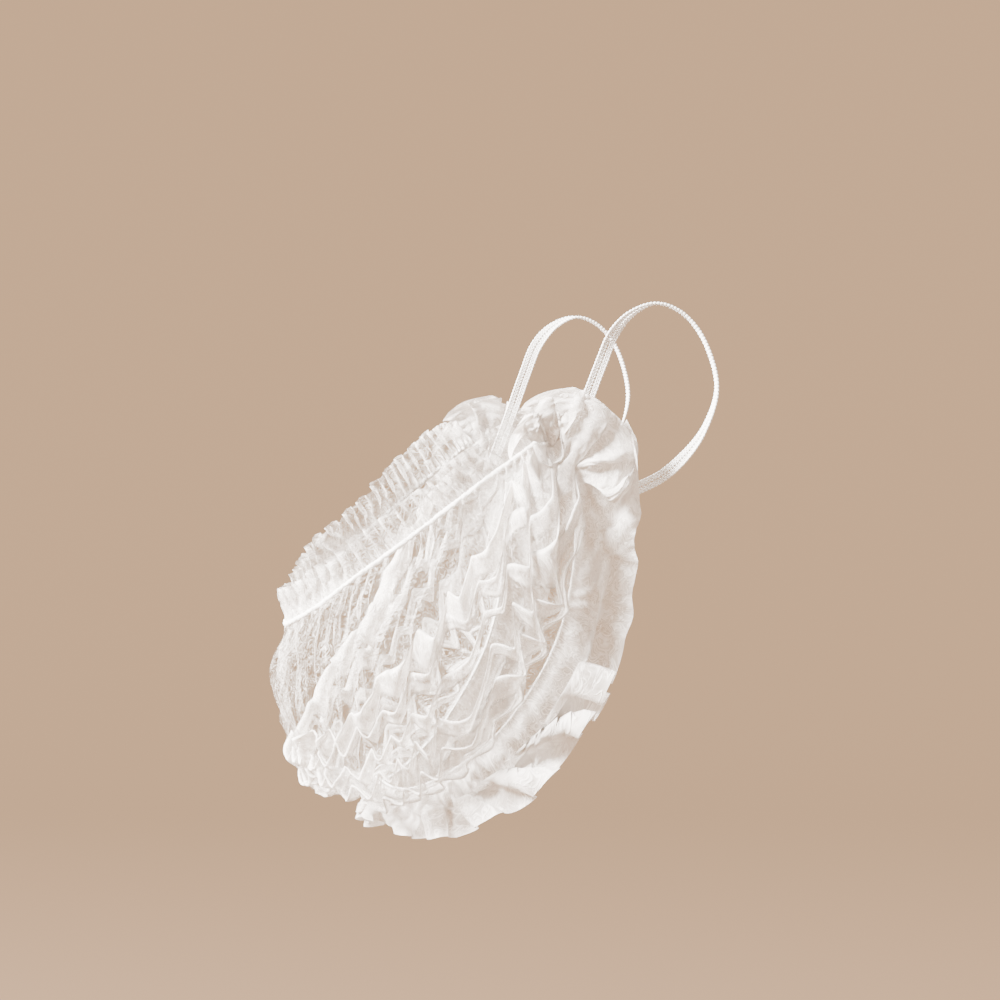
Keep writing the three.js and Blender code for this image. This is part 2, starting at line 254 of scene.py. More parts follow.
# %% The rows from strand to strand
FIRST_STAND = 1.5  # the first pleat stands off more than the rest
UNDER = 0.12  # how far cloth sinks where a pleat covers it
shares, lifts, stacked = [], [], []
visible, hidden = pleat_edges(0)
for row in range(SMOOTH_ROWS):
    shares.append(hidden * row / SMOOTH_ROWS)
    under = (shares[-1] - visible) / (hidden - visible)
    stacked.append(FIRST_STRIP * ease(under, -0.1, 0.1))
    lifts.append(-UNDER * ease(under, -0.5, 0.5))
for pleat in range(PLEATS):
    visible, hidden = pleat_edges(pleat)
    if pleat < PLEATS - 1:
        next_visible, stop = pleat_edges(pleat + 1)
    else:
        next_visible, stop = np.full_like(sides, 2.0), np.ones_like(sides)
    stand, pressed = (FIRST_STAND, FIRST_STRIP) if pleat == 0 else (1.0, 1.0)
    for row in range(BACK_ROWS):
        back = row / BACK_ROWS
        shares.append(hidden + (visible - hidden) * back)
        lifts.append(np.full_like(sides, 0.08 + (stand - 0.45) * back**1.5))
        stacked.append(np.full_like(sides, pressed))
    for row in range(ON_ROWS):
        shares.append(visible + (stop - visible) * (row / ON_ROWS) ** 1.15)
        covered = (shares[-1] - visible) / ((hidden - visible) * 1.7)
        under = (shares[-1] - next_visible) / np.maximum(stop - next_visible, 1e-3)
        lifts.append(stand * 0.95 * (1 - ease(covered, 0.0, 1.0)) - UNDER * ease(under, -0.5, 0.5))
        stacked.append(np.maximum(pressed * (1 - ease(covered * 1.7, 0.9, 1.1)),
                                  ease(under, -0.1, 0.1)))
shares.append(np.ones_like(sides))
lifts.append(np.zeros_like(sides))
stacked.append(np.zeros_like(sides))
shares = np.clip(np.array(shares).T, 0, 1)
lifts, stacked = np.array(lifts).T, np.array(stacked).T
print("rows of the pouch:", shares.shape[1])

# %% [markdown]
# ## Gathers, zigzags and creases
# The strands pull the sheet together along its length, so it buckles. The folds
# run from strand to strand: they hang softly on the smooth part, where they lap a
# little over one another, and bend each pleat's edge into a zigzag further down.
# The same shift is given to all layers at one place, so that no layer goes through
# another.

# %% Where the folds run
FOLDS = 12.5  # from the middle to a gathered end


def at_share(table, column_shares):
    """Values of a table of section steps, read at each column's shares."""
    steps = column_shares * SECTION_STEPS
    low = np.minimum(np.floor(steps).astype(int), SECTION_STEPS - 1)
    part = (steps - low)[..., None]
    columns = np.arange(len(table))[:, None]
    return table[columns, low] * (1 - part) + table[columns, low + 1] * part


def by_column(*values):
    """The same as by_side, as a column for grids."""
    return by_side(*values)[:, None]


side_grid = sides[:, None]
middle_grid = from_middle[:, None]
down = shares * section_length[:, None]  # metres below the upper strand
up = (1 - shares) * section_length[:, None]
held_top, held_bottom = ease(down, 0, 10 * MM), ease(up, 0, 7 * MM)
pleated = ease((shares - first_pleat[:, None]) * section_length[:, None], -8 * MM, 4 * MM)
smooth = held_top * (1 - pleated)
folded = pleated * held_bottom
near_end = 1 - 0.3 * ease(middle_grid, 0.94, 1.0)
leaning = np.sign(side_grid) * ease(shares, 0.1, 1.0) * by_column(0, 0.7, 1.3, 1.1, 0.4, 0)
fold_turns = FOLDS * side_grid + leaning + 0.7 * wander(6 * side_grid, 4 * shares, 11)
fold_size = 1 + 0.5 * wander(10 * side_grid, 7 * shares, 16)
fine_turns = 2.1 * FOLDS * side_grid + 0.4 * wander(12 * side_grid, 2 * shares, 12)
wide_turns = (0.87 * FOLDS * side_grid + 0.3 * leaning
              + 1.1 * wander(5 * side_grid, 2.6 * shares, 13))
print("folds on each side: %.0f wide, %.0f fine" % (0.87 * FOLDS, 2.1 * FOLDS))

# %% [markdown]
# Each of these moves has one direction. Gathers, buckles, crumples and a slow sway
# push the cloth out or in, the zigzags shift it up and down, and the laps slide it
# along the net. Towards the strands, which hold the cloth, most of them fade out.

# %% The pouch with its folds
PLEAT_RISE = 3.2 * MM
GATHER_FADE = 7 * MM  # below the upper strand

fine_gathers = ((0.5 + 1.3 * soft_zigzag(fine_turns)) * np.exp(-down / GATHER_FADE)
                * ease(down, 0, 1.2 * MM))
hanging_folds = (by_column(2.2, 2.0, 1.6, 1.3, 1.1, 0.8)
                 * (0.8 + 1.0 * wander(9 * side_grid, 4 * shares, 17))
                 * soft_zigzag(wide_turns, 0.97) * smooth)
gather = (fine_gathers + hanging_folds) * MM
lapping = (by_column(1.3, 1.8, 1.9, 1.4, 0.8, 0)
           * (0.7 + 0.9 * wander(7 * side_grid, 3 * shares, 20))
           * -np.sin(4 * np.pi * wide_turns) * smooth) * MM
zigzag = by_column(1.6, 2.6, 3.7, 4.0, 3.8, 3.0) * fold_size * soft_zigzag(fold_turns, 0.975) * MM
buckle = (by_column(1.0, 1.0, 1.0, 1.0, 0.9, 0.6) * fold_size
          * np.sin(2 * np.pi * fold_turns + 1.1) * MM)
crumple = (0.75 * creases(side_grid * 30 + down / (26 * MM), down / (20 * MM), 14)
           + 0.3 * creases(side_grid * 64, down / (9 * MM), 15)) * MM * held_top * held_bottom

rise = PLEAT_RISE * by_column(0.7, 0.9, 1.0, 1.0, 0.8, 0.5)
rise = rise * (0.85 + 0.28 * np.sin(2 * np.pi * fold_turns - 0.4)
               + 0.3 * wander(10 * side_grid, 8 * shares, 18))
sway = 2.6 * MM * wander(4.3 * side_grid, 3.2 * shares, 19) * held_top * held_bottom
out_by = lifts * rise + (gather + buckle * folded + crumple + sway) * near_end
pouch_rows = (at_share(pouch, shares)
              + at_share(outward, shares) * out_by[..., None]
              + at_share(across, shares) * (zigzag * folded * near_end)[..., None]
              + at_share(along, shares) * lapping[..., None])
print("pouch grid:", pouch_rows.shape[:2])

# %% [markdown]
# ## The frills
# Past each strand the cloth stands free. Gathered cloth there falls in narrow
# folds that lean over one another, more and more towards the free edge, like the
# hem of a full skirt. The lower frill is wider and its folds are larger and stray
# more. Along the jaw it is also folded back under itself, so it shows a rim of
# doubled cloth there.

# %% How wide the frills are
UPPER_FRILL = 11.5 * MM
LOWER_FRILL = 25 * MM
upper_width = UPPER_FRILL * by_side(1.0, 1.0, 1.0, 1.12, 1.15, 0.9)
lower_width = LOWER_FRILL * by_side(0.46, 0.60, 1.06, 0.92, 0.84, 0.84)
tucked = by_side(0, 0.2, 1.0, 0.8, 0.15, 0)  # where the lower frill is folded back under itself
print("frills: up to %.0f and %.0f mm wide" % (upper_width.max() * 1e3, lower_width.max() * 1e3))

# %% [markdown]
# A frill grows row by row from its strand. Each row is pushed out by the flare and
# the folds, slid along the strand where a fold leans over the next, and reaches a
# little further away than the row before it.

# %% The frills
FRILL_FLARE = 0.22  # push outwards for each metre of width
FACE_SIDE_FROM = 0.55  # from here on the cloth turns to face straight sideways
EDGE_CRIMPS = 4.6  # small waves of the free edge for each fold
STRAND_CRIMPS = 3.3  # and beside the strand


def strand_frame(share_step, sign):
    """Place, outward way, frill way and tangent along a strand."""
    tangent = along[:, share_step]
    faces = unit(np.column_stack([tangent[:, 1], -tangent[:, 0], np.zeros(len(sides))]))
    turn = ease(from_middle, FACE_SIDE_FROM, 1)[:, None]
    sideways = np.sign(sides)[:, None] * (1, 0, 0)
    faces = unit(faces * (1 - turn) + sideways * turn)
    return pouch[:, share_step], faces, sign * unit(np.cross(faces, tangent)), tangent


def frill(share_step, sign, width, rows, turns_along, depth, lean, stray, seed, tuck=0 * sides):
    """Rows of a frill from its strand to its free edge."""
    at, faces, away, tangent = strand_frame(share_step, sign)
    out_rows = []
    for share in np.arange(1, rows + 1) / rows:
        turns = turns_along + stray * wander(8 * sides, 2.2 * stray * share, seed)
        vary = (1 + 0.6 * wander(11 * sides, 0.8 * share, seed + 1)) * ease(share, 0, 0.8)**0.8
        push = width * FRILL_FLARE * share + depth * vary * soft_zigzag(turns, 0.97)
        push += 0.7 * MM * creases(sides * 50, share * 3.5, seed + 2) * share
        push += 0.4 * MM * creases(sides * 90, share * 8, seed + 6) * ease(share, 0, 0.4)
        push += 0.14 * width * wander(6 * sides, 1.5 * share, seed + 4) * share
        push += 0.55 * MM * np.sin(2 * np.pi * EDGE_CRIMPS * turns_along) * share**4
        push += (1.5 * MM * soft_zigzag(STRAND_CRIMPS * turns) * ease(share, 0, 0.12)
                 * math.exp(-3.5 * share))
        push += 2.2 * MM * tuck * ease(share, 0, 0.2) * (1 - ease(share, 0.32, 0.66))
        slide = -lean * vary * np.sin(4 * np.pi * turns)
        reach = width * share * (1 + 0.10 * wander(26 * sides, 0.5, seed + 3) * share**2)
        reach += 0.28 * width * tuck * math.sin(2 * math.pi * share)
        out_rows.append(at + faces * push[:, None] + away * reach[:, None]
                        + tangent * slide[:, None])
    return np.array(out_rows).transpose(1, 0, 2)


upper_turns = np.sign(sides) * (21 * from_middle - 3.5 * from_middle**3)
lower_turns = np.sign(sides) * (12 * from_middle - 3.0 * from_middle**2)
upper_rows = frill(0, 1, upper_width, UPPER_FRILL_ROWS, upper_turns,
                   depth=MM * by_side(1.5, 1.6, 1.7, 1.9, 1.8, 0.8),
                   lean=MM * by_side(1.1, 1.2, 1.3, 1.7, 1.5, 0.4), stray=0.55, seed=21)
lower_rows = frill(SECTION_STEPS, -1, lower_width, LOWER_FRILL_ROWS, lower_turns,
                   depth=MM * by_side(2.8, 3.4, 4.2, 4.0, 3.0, 1.4),
                   lean=MM * by_side(2.0, 2.6, 3.2, 3.2, 2.6, 0.8), stray=0.85, seed=31,
                   tuck=tucked * (1 + 0.3 * wander(5 * sides, 0.4, 36)))
sheet_columns = np.concatenate([upper_rows[:, ::-1], pouch_rows, lower_rows], axis=1)
ROWS = sheet_columns.shape[1]
print("rows of the sheet:", ROWS)

# %% [markdown]
# The cut sheet is flat, and its own measure across is needed twice: for the
# layout of the cloth on the opened ends, and as the piece's UV map.

# %% The cloth's own measure
REFERENCE = HALF_COLUMNS + round(0.6 * HALF_COLUMNS)  # a column where the cloth is least crushed
HALF_CLOTH = 200 * MM  # of cloth from the middle to a gathered end
FAN_LENGTH = 25 * MM

run_down = np.abs(np.diff(shares[REFERENCE])) * section_length[REFERENCE]
run_down = np.concatenate([np.full(UPPER_FRILL_ROWS, UPPER_FRILL / UPPER_FRILL_ROWS), run_down,
                           np.full(LOWER_FRILL_ROWS, LOWER_FRILL / LOWER_FRILL_ROWS)])
cloth_down = np.append(0, np.cumsum(run_down))
CLOTH_LENGTH = cloth_down[-1]

# %% [markdown]
# ## The opened ends
# Past the gathered end the whole width of the sheet opens again like a fan. It is
# far more cloth than the fan has room for, so it lies in broad folds over itself,
# and with several layers nearly everywhere it is the whitest part of the net.

# %% How the fans fold
FAN_COLUMNS = 42
# each row: share of the cloth, turn from straight up towards the back, and layer
FAN_FOLDS = [
    (0.00, -100, 0.0), (0.09, -42, 1.0), (0.16, -72, -0.6), (0.25, -8, 0.9), (0.32, -40, -0.8),
    (0.41, 22, 1.0), (0.48, -12, -0.7), (0.57, 50, 0.8), (0.64, 18, -0.9), (0.73, 92, 1.1),
    (0.79, 58, -0.6), (0.89, 132, 1.4), (0.95, 96, -0.8), (1.00, 66, -1.2)]
FAN_BULGE = 6 * MM
FAN_LAYER = 1.6 * MM

spread = cloth_down / CLOTH_LENGTH
fold_at, fold_turn, fold_layer = np.array(FAN_FOLDS).T
before = np.clip(np.searchsorted(fold_at, spread, side="right") - 1, 0, len(fold_at) - 2)
after = before + 1
fold_part = ease((spread - fold_at[before]) / (fold_at[after] - fold_at[before]), 0, 1)
fan_turn = np.radians(fold_turn[before] * (1 - fold_part) + fold_turn[after] * fold_part)
fan_layer = fold_layer[before] * (1 - fold_part) + fold_layer[after] * fold_part
# the fan's length in shares of FAN_LENGTH, for each turn in degrees
LENGTH_TURNS = [-100, -55, -25, 5, 40, 80, 115, 145]
LENGTHS = [0.78, 0.86, 0.93, 0.98, 1.0, 1.04, 1.0, 0.9]
print("folds in each fan:", len(FAN_FOLDS) - 1)

# %% [markdown]
# Each column of a fan lies a little further out than the one before it. The cloth
# leaves the gathered end, rises over the ear's root in a shallow bulge, and small
# ripples and creases cross it.

# %% The fans' columns
def fan(side):
    """Columns of the opened end, from the gathered end to the sheet's short edge."""
    start = sheet_columns[-1 if side > 0 else 0]
    middle = (pouch[-1, 0] + pouch[-1, -1]) / 2 * (side, 1, 1)
    columns = []
    for share in np.arange(1, FAN_COLUMNS + 1) / FAN_COLUMNS:
        turn = fan_turn + 0.30 * wander(3 * spread, 1.6 * share, 42) * ease(share, 0.1, 0.9)
        turn = turn + 0.06 * wander(11 * spread, 3 * share, 47 + side)
        length = FAN_LENGTH * np.interp(turn, np.radians(LENGTH_TURNS), LENGTHS)
        length = length * (0.93 + 0.11 * wander(9 * spread, 0.2, 44)
                           + 0.035 * creases(spread * 40, 0.5, 49))
        edge = np.column_stack([start[:, 0], middle[1] + np.sin(turn) * length,
                                middle[2] + np.cos(turn) * length])
        place = start + (edge - start) * share
        lift = FAN_BULGE * np.sin(min(share / 0.67, 1.5) * np.pi / 2)
        lift = lift + 2.5 * MM * share * (1 - ease(spread, 0.0, 0.12) + ease(spread, 0.84, 1.0))
        layer = FAN_LAYER * fan_layer * ease(share, 0, 0.35)
        ripple = (1.0 * soft_zigzag(13 * spread + 0.3 * share) * share
                  + 0.9 * creases(spread * 34, share * 2.6, 46)
                  + 0.55 * creases(spread * 58, share * 7, 48)) * MM * ease(share, 0, 0.2)
        place[:, 0] += side * (lift + layer + ripple)
        columns.append(place)
    return np.array(columns)


sheet_points = np.concatenate([fan(-1)[::-1], sheet_columns, fan(1)])
print("grid of the sheet:", sheet_points.shape[:2],
      "triangles:", 2 * (sheet_points.shape[0] - 1) * (ROWS - 1))

# %% [markdown]
# The grid becomes one mesh of four-sided faces, with the cloth's own flat measure
# as its UV map. Spunbond cloth is only about 0.15 mm thick, so it stays a single
# layer of faces.

# %% The sheet
def grid_mesh(name, points, uv):
    """A piece from a grid of points, its faces turned towards the outside."""
    columns, rows = points.shape[:2]
    mesh = bpy.data.meshes.new(name)
    corner = np.arange(columns * rows).reshape(columns, rows)
    quads = np.stack([corner[:-1, :-1], corner[:-1, 1:], corner[1:, 1:], corner[1:, :-1]], axis=-1)
    mesh.from_pydata(points.reshape(-1, 3).tolist(), [], quads.reshape(-1, 4).tolist())
    layer = mesh.uv_layers.new(name="cloth")
    layer.data.foreach_set("uv", uv.reshape(-1, 2)[quads.reshape(-1)].reshape(-1))
    mesh.shade_smooth()
    piece = bpy.data.objects.new(name, mesh)
    bpy.context.scene.collection.objects.link(piece)
    return piece


fan_run = FAN_LENGTH * np.arange(1, FAN_COLUMNS + 1) / FAN_COLUMNS
cloth_along = np.concatenate([-HALF_CLOTH - fan_run[::-1], sides * HALF_CLOTH,
                              HALF_CLOTH + fan_run])
flat_uv = np.stack(np.meshgrid(cloth_along, cloth_down, indexing="ij"), axis=-1)
sheet = grid_mesh("pleated_sheet", sheet_points, flat_uv)
print(sheet.name, "vertices:", len(sheet.data.vertices))

# %% [markdown]
# Where this cloth is creased its fibres are pressed together, and a crease shows
# as a thin white line. The bend of the surface is measured at each point and kept
# as an attribute, which the finish reads later.

# %% Where the cloth is creased
def keep_at_points(mesh, name, values):
    """Keeps one number at each point of a mesh, for its finish to read."""
    attribute = mesh.attributes.new(name, "FLOAT", "POINT")
    attribute.data.foreach_set("value", values.reshape(-1))


def bend_along(points, axis):
    """How sharply a grid turns at each point: 0 is straight, 1 a full fold."""
    ahead = unit(np.diff(points, axis=axis))
    after = np.roll(ahead, -1, axis=axis)
    turn = 0.5 * (1 - np.sum(ahead * after, axis=2))
    middle = turn[:-1] if axis == 0 else turn[:, :-1]
    padding = ((1, 1), (0, 0)) if axis == 0 else ((0, 0), (1, 1))
    return np.pad(middle, padding)


HEM = 0.5  # the cut edge is pressed a little too
SOFT_BEND = 0.10  # up to here a bend leaves no line
bend_down = np.clip(bend_along(sheet_points, 1) - SOFT_BEND, 0, 1)
bend_across = np.clip(bend_along(sheet_points, 0) - SOFT_BEND, 0, 1)
crease = 1.5 * bend_down**0.7 + 1.6 * bend_across**0.8
beside = np.maximum(np.roll(crease, 1, axis=1), np.roll(crease, -1, axis=1))
crease = np.clip(np.maximum(crease, 0.6 * beside), 0, 1)
crease[:, [0, -1]] = np.maximum(crease[:, [0, -1]], HEM)
crease[[0, -1]] = np.maximum(crease[[0, -1]], HEM)
keep_at_points(sheet.data, "crease", crease)
print("creased share of the sheet: %.2f" % np.mean(crease > 0.4))

# %% [markdown]
# Where cloth lies in layers it looks whiter too. A second attribute says how dense
# the cloth is at each point: high in the crushed fans and the lower frill, low in
# the upper frill, and in the pouch only where a pleat is pressed or the gathered
# end is near.

# %% Where the cloth is dense
FAN_PRESS, UPPER_PRESS = 1.55, 0.30
STRIP_PRESS = 0.32  # for each pressed layer of a pleat

layered = np.full(sheet_points.shape[:2], FAN_PRESS)
between_fans = layered[FAN_COLUMNS:-FAN_COLUMNS]
between_fans[:, :UPPER_FRILL_ROWS] = UPPER_PRESS
between_fans[:, UPPER_FRILL_ROWS:-LOWER_FRILL_ROWS] = (
    STRIP_PRESS * stacked + ease(middle_grid, 0.70, 0.94))
between_fans[:, -LOWER_FRILL_ROWS:] = by_column(1.7, 1.6, 1.15, 1.05, 1.3, 1.3)
keep_at_points(sheet.data, "layered", layered)
print("densest and thinnest point: %.2f, %.2f" % (layered.max(), layered.min()))

# %% [markdown]
# ## The two gathering strands
# Each strand is a thin elastic core in a fuzzy white wrapping. The upper one lies
# on the outside of the cloth and is the bright line over the cheek. The lower one
# lies inside. A tube is swept along each, and its skin rises and falls with the
# turns of the wrapping.

# %% Strands
STRAND_RADIUS = 0.95 * MM
STRAND_SEAT = 0.95 * MM  # from the cloth's middle to the strand's own
STRAND_REACH = 0.985  # in shares of the way to a gathered end
LOWER_THICKNESS = 0.55  # of the upper strand's
WRAP_PITCH = 1.2 * MM
TUBE_SIDES, TUBE_STEP = 12, 0.45 * MM


def strand(name, share_step, sign, seat, thickness=1.0):
    """A wrapped elastic along one edge of the pouch."""
    at, faces, _, _ = strand_frame(share_step, sign)
    inside = from_middle <= STRAND_REACH
    route = (at + faces * seat)[inside]
    run = np.append(0, np.cumsum(np.linalg.norm(np.diff(route, axis=0), axis=1)))
    steps = np.arange(0, run[-1], TUBE_STEP)
    path = np.column_stack([np.interp(steps, run, route[:, axis]) for axis in range(3)])
    ahead = unit(np.gradient(path, axis=0))
    first = unit(np.cross(ahead, (0, 0, 1)))
    second = np.cross(ahead, first)
    turn = np.arange(TUBE_SIDES) / TUBE_SIDES * 2 * np.pi
    wrap = np.cos(2 * turn[None, :] - 2 * np.pi * steps[:, None] / WRAP_PITCH)
    fuzz = wander(steps[:, None] / (0.9 * MM), turn[None, :] * 1.9, 51)
    thick = wander(steps[:, None] / (6 * MM), 0 * turn[None, :], 52)
    radius = STRAND_RADIUS * thickness * (0.90 + 0.10 * wrap + 0.24 * fuzz + 0.14 * thick)
    radius *= np.minimum(1, 0.35 + np.minimum(steps, run[-1] - steps) / (1.5 * MM))[:, None]
    ring = (path[:, None] + first[:, None] * (radius * np.cos(turn))[..., None]
            + second[:, None] * (radius * np.sin(turn))[..., None])
    mesh = bpy.data.meshes.new(name)
    corner = np.arange(ring.shape[0] * TUBE_SIDES).reshape(-1, TUBE_SIDES)
    beside = np.roll(corner, -1, axis=1)
    quads = np.stack([corner[:-1], beside[:-1], beside[1:], corner[1:]], axis=-1).reshape(-1, 4)
    mesh.from_pydata(ring.reshape(-1, 3).tolist(), [],
                     quads.tolist() + [corner[0, ::-1].tolist(), corner[-1].tolist()])
    mesh.shade_smooth()
    piece = bpy.data.objects.new(name, mesh)
    bpy.context.scene.collection.objects.link(piece)
    print("%s: %.0f mm of wrapped elastic" % (name, run[-1] * 1e3))
    return piece


upper_strand = strand("upper_strand", 0, 1, STRAND_SEAT)
lower_strand = strand("lower_strand", SECTION_STEPS, -1, -STRAND_SEAT, LOWER_THICKNESS)

# %% [markdown]
# ## The ear loops
# The loops are flat knitted elastic. One course of the knitting is modelled once:
# a bead at each edge, two slanting legs beside it, and a thin bridge over the row
# of small holes in the middle. It is then laid along the band, course by course.

# %% One course of the knitting
COURSE_PITCH = 1.25 * MM
# place across, size across, along and through in millimetres, and slant in degrees
COURSE = [(1.84, 0.84, 1.50, 0.96, 0), (1.18, 0.62, 1.95, 0.74, 24), (0.58, 0.56, 1.85, 0.70, -24)]
BRIDGE = (0.9, 0.36, 0.40)


def rounded_bead(across_at, size, slant=0):
    """An egg-shaped bead, its place, size and slant in millimetres and degrees."""
    bpy.ops.object.select_all(action="DESELECT")
    bpy.ops.mesh.primitive_ico_sphere_add(subdivisions=1, radius=0.5, location=(0, 0, 0))
    bpy.ops.object.mode_set(mode="EDIT")
    bpy.ops.mesh.select_all(action="SELECT")
    bpy.ops.mesh.subdivide(number_cuts=1, smoothness=1.0)
    bpy.ops.transform.resize(value=[v * MM for v in size])
    if slant:
        bpy.ops.transform.rotate(value=math.radians(slant), orient_axis="Z",
                                 center_override=(0, 0, 0))
    bpy.ops.transform.translate(value=(across_at * MM, 0, 0))
    bpy.ops.object.mode_set(mode="OBJECT")
    return bpy.context.active_object


beads = [rounded_bead(0.0, BRIDGE)]
for across_at, *size, slant in COURSE:
    for way in (1, -1):
        beads.append(rounded_bead(way * across_at, size, way * slant))
for bead in beads:
    bead.select_set(True)
bpy.context.view_layer.objects.active = beads[0]
bpy.ops.object.join()
course = bpy.context.active_object
course.name = "knitted_course"
print("one course:", len(course.data.polygons), "faces")

# %% [markdown]
# The band follows the same route as the model's: up before the ear, over its
# root, and down behind it, with its flat face turning as it goes over.

# %% The band's route
# each row: out, forward and down in shares, and the roll of the band in degrees
LOOP_ROUTE = [
    (1.023, 0.80, 1.15, 0), (1.033, 0.63, 0.75, 0), (1.048, 0.50, 0.44, 0),
    (1.053, 0.39, 0.21, 20), (1.058, 0.22, 0.05, 60), (1.068, 0.00, -0.015, 90),
    (1.078, -0.23, 0.08, 90), (1.098, -0.40, 0.30, 90), (1.118, -0.485, 0.625, 90),
    (1.093, -0.39, 0.93, 75), (1.058, -0.21, 1.16, 40), (1.038, 0.03, 1.33, 15),
    (1.018, 0.36, 1.42, 0), (1.003, 0.66, 1.29, 0)]
LOOP_SEAT = 1.3 * MM  # inwards from the cloth's middle
BAND_STEPS = 1200

end_reach, end_drop = pouch[-1, 0, 1], pouch[-1, 0, 2]
rows = np.array(LOOP_ROUTE)
stations = np.column_stack([rows[:, 0] * EAR_HALF_WIDTH - LOOP_SEAT,
                            rows[:, 1] * end_reach, rows[:, 2] * end_drop])
places = np.linspace(0, len(rows) - 1, BAND_STEPS)
band = smooth_through(stations, places)
band_run = np.append(0, np.cumsum(np.linalg.norm(np.diff(band, axis=0), axis=1)))
course_at = np.arange(COURSE_PITCH / 2, band_run[-1] - COURSE_PITCH / 2, COURSE_PITCH)
centres = np.column_stack([np.interp(course_at, band_run, band[:, axis]) for axis in range(3)])
row_at = np.interp(course_at, band_run, places)
band_roll = np.radians(np.interp(row_at, np.arange(len(rows)), rows[:, 3]))
ahead = unit(np.gradient(centres, axis=0))
flat_way = unit(np.cross((1, 0, 0), ahead))
depth_way = unit(np.cross(ahead, flat_way))
band_across = flat_way * np.cos(band_roll)[:, None] + depth_way * np.sin(band_roll)[:, None]
band_through = unit(np.cross(ahead, band_across))
print("band: %.0f mm, %d courses" % (band_run[-1] * 1e3, len(centres)))

# %% [markdown]
# The course is copied to every place along the route, turned with the band there.
# Mirroring it turns its faces inside out on the right, so both loops have their
# faces turned outwards again.

# %% The knitted loops
course_points = np.array([vertex.co[:] for vertex in course.data.vertices])
course_faces = np.array([face.vertices[:] for face in course.data.polygons])


def ear_loop(name, way):
    """The knitted band on one side, way being 1 on the wearer's left."""
    points = (centres[:, None] + course_points[None, :, 0, None] * band_across[:, None]
              + course_points[None, :, 1, None] * ahead[:, None]
              + course_points[None, :, 2, None] * band_through[:, None])
    points = (points * (way, 1, 1)).reshape(-1, 3)
    first_points = np.arange(len(centres))[:, None, None] * len(course_points)
    faces = (course_faces[None] + first_points).reshape(-1, 3)
    mesh = bpy.data.meshes.new(name)
    mesh.from_pydata(points.tolist(), [], faces.tolist())
    mesh.shade_smooth()
    piece = bpy.data.objects.new(name, mesh)
    bpy.context.scene.collection.objects.link(piece)
    bpy.ops.object.select_all(action="DESELECT")
    piece.select_set(True)
    bpy.context.view_layer.objects.active = piece
    bpy.ops.object.mode_set(mode="EDIT")
    bpy.ops.mesh.select_all(action="SELECT")
    bpy.ops.mesh.normals_make_consistent(inside=False)
    bpy.ops.object.mode_set(mode="OBJECT")
    return piece


left_loop = ear_loop("left_knitted_loop", 1)
right_loop = ear_loop("right_knitted_loop", -1)
bpy.data.objects.remove(course)
print("each loop:", len(left_loop.data.polygons), "faces")

# %% [markdown]
# ## Spunbond nonwoven
# The cloth is a random web of fine white fibres pressed together. A single layer
# is mostly open, and the white bands come from layers that lie on each other, so
# the finish is mostly a matter of how much it covers. Every fibre is a thin line
# along the contours of a stretched noise. These few helpers make the nodes.

# %% Helpers for finishes
def node_material(name):
    """A material with an empty tree."""
    material = bpy.data.materials.new(name)
    material.use_nodes = True
    tree = material.node_tree
    tree.nodes.clear()
    return material, tree


def math_node(tree, operation, *inputs, clamp=False):
    """One calculation with numbers and sockets."""
    node = tree.nodes.new("ShaderNodeMath")
    node.operation = operation
    node.use_clamp = clamp
    for socket, value in zip(node.inputs, inputs):
        if isinstance(value, (int, float)):
            socket.default_value = value
        else:
            tree.links.new(value, socket)
    return node.outputs[0]


def noise_node(tree, place, scale, detail, distortion=0.0, dimensions="3D"):
    """A noise, whose outputs are Fac and Color."""
    node = tree.nodes.new("ShaderNodeTexNoise")
    node.noise_dimensions = dimensions
    node.inputs["Scale"].default_value = scale
    node.inputs["Detail"].default_value = detail
    node.inputs["Distortion"].default_value = distortion
    tree.links.new(place, node.inputs["Vector"])
    return node.outputs


def point_value(tree, name):
    """A number that the mesh keeps at its points."""
    node = tree.nodes.new("ShaderNodeAttribute")
    node.attribute_name = name
    return node.outputs["Fac"]


def colour_ramp(tree, value, *stops):
    """A colour for each value, between two stops of place and colour."""
    node = tree.nodes.new("ShaderNodeValToRGB")
    for element, (position, colour) in zip(node.color_ramp.elements, stops):
        element.position = position
        element.color = colour
    tree.links.new(value, node.inputs["Fac"])
    return node.outputs["Color"]


def matt_shader(tree, roughness, specular, sheen=0.0, sheen_roughness=0.5):
    """A surface without gloss, fluffy where it has sheen."""
    node = tree.nodes.new("ShaderNodeBsdfPrincipled")
    node.inputs["Roughness"].default_value = roughness
    node.inputs["Specular IOR Level"].default_value = specular
    node.inputs["Sheen Weight"].default_value = sheen
    node.inputs["Sheen Roughness"].default_value = sheen_roughness
    return node


def bump_node(tree, height, strength, distance):
    """Small relief from a height."""
    node = tree.nodes.new("ShaderNodeBump")
    node.inputs["Strength"].default_value = strength
    node.inputs["Distance"].default_value = distance
    tree.links.new(height, node.inputs["Height"])
    return node.outputs["Normal"]


def mix_shaders(tree, share, first, second):
    """Two shaders, the second by the given share."""
    node = tree.nodes.new("ShaderNodeMixShader")
    if isinstance(share, float):
        node.inputs["Fac"].default_value = share
    else:
        tree.links.new(share, node.inputs["Fac"])
    tree.links.new(first.outputs[0], node.inputs[1])
    tree.links.new(second.outputs[0], node.inputs[2])
    return node


def show(tree, shader):
    """Makes a shader the material's surface."""
    output = tree.nodes.new("ShaderNodeOutputMaterial")
    tree.links.new(shader.outputs[0], output.inputs["Surface"])


